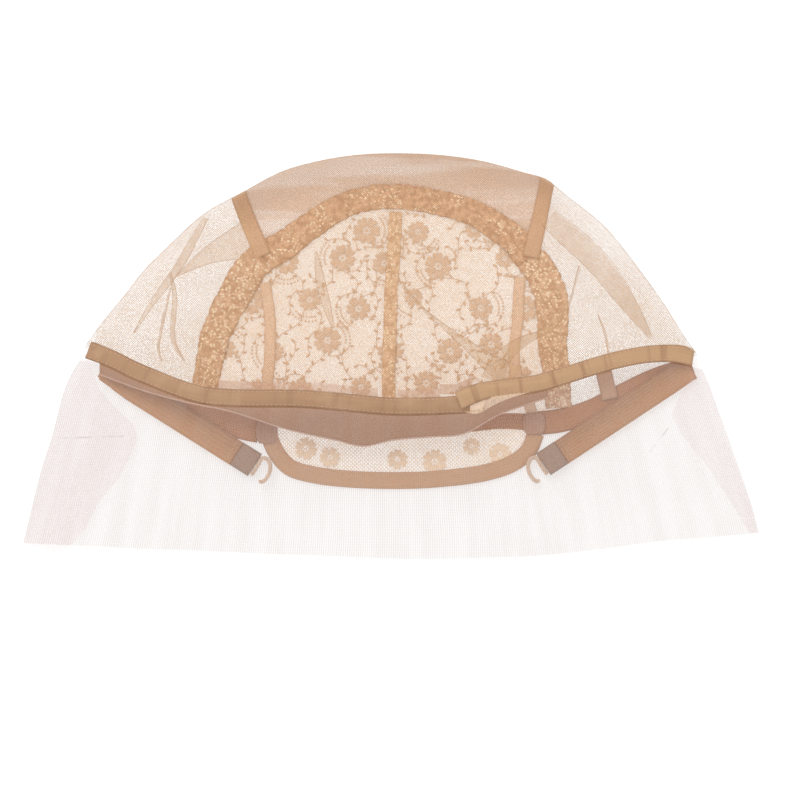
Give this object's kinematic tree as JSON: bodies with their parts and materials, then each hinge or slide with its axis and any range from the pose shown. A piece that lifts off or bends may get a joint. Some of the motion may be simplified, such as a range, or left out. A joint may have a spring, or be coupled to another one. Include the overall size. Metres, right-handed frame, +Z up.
{
  "type": "wig cap",
  "caption": "Lace-front wig cap lying flat, with floral stretch lace back, crown panel, arch band, nape binding, hooked ear straps and a wide sheer lace apron.",
  "frame": {"origin": "middle of the underside of the lying cap, on the surface that it rests on", "axes": "+X along the cap's width from ear to ear, +Y from the face opening towards the crown fold, +Z up"},
  "size_m": [0.3372, 0.1866, 0.032],
  "materials": {
    "pale_net": "sheer net, matt",
    "dense_net": "dense knitted net, matt",
    "floral_lace": "stretch lace, matt",
    "satin_tape": "woven satin tape",
    "lace_elastic": "openwork lace elastic",
    "rosy_net": "double net over tape, matt",
    "strap_elastic": "woven elastic",
    "grey_elastic": "folded woven elastic",
    "sheer_lace": "very sheer fine net",
    "hook_plastic": "translucent moulded plastic"
  },
  "bodies": {
    "root": {"front_net": "pale_net", "side_net_left": "pale_net", "side_net_right": "pale_net", "crown_panel": "dense_net", "back_panel_left": "floral_lace", "back_panel_right": "floral_lace", "nape_net": "floral_lace", "arch_leg_left": "lace_elastic", "arch_band_top": "lace_elastic", "arch_leg_right": "lace_elastic", "crown_tape_left": "satin_tape", "crown_tape_right": "satin_tape", "back_tape_left": "satin_tape", "back_tape_right": "satin_tape", "centre_tape": "satin_tape", "ear_stay": "satin_tape", "ribbon_left": "satin_tape", "ribbon_right": "satin_tape", "ear_band_left": "rosy_net", "ear_band_right": "rosy_net", "hem_band": "rosy_net", "nape_binding": "strap_elastic", "strap_left": "strap_elastic", "strap_right": "strap_elastic", "strap_loop_left": "grey_elastic", "strap_loop_right": "grey_elastic", "corner_tab_left": "grey_elastic", "corner_tab_right": "grey_elastic", "hook_left": "hook_plastic", "hook_right": "hook_plastic", "lace_apron": "sheer_lace"}
  },
  "joints": []
}
